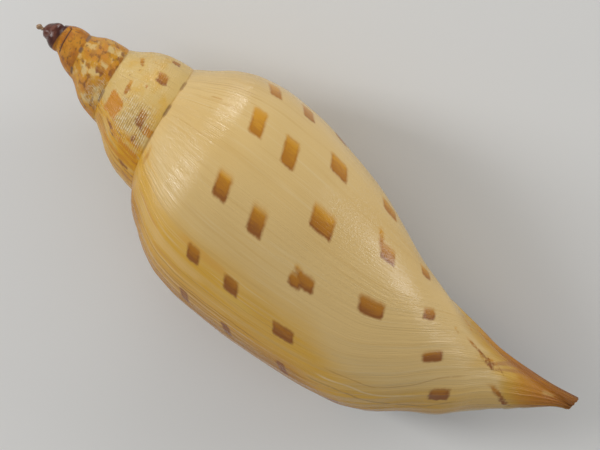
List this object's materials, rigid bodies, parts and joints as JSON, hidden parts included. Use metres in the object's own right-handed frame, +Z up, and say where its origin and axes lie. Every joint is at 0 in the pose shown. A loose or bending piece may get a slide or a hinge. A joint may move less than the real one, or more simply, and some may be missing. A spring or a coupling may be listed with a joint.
{
  "type": "volute shell",
  "caption": "Large spindle-shaped volute seashell with a short stepped spire, long open aperture and drawn-out canal, lying aperture down.",
  "frame": {"origin": "centre of the bounding box in plan, on the surface that the shell lies on", "axes": "+X from the apex towards the canal tip, +Z up out of the back of the shell; the outer lip is on the -Y side"},
  "size_m": [0.1636, 0.0584, 0.0492],
  "materials": {
    "glossy_shell": "semi-gloss cream shell with rows of brown squarish spots"
  },
  "bodies": {
    "root": {"volute_shell": "glossy_shell"}
  },
  "joints": []
}
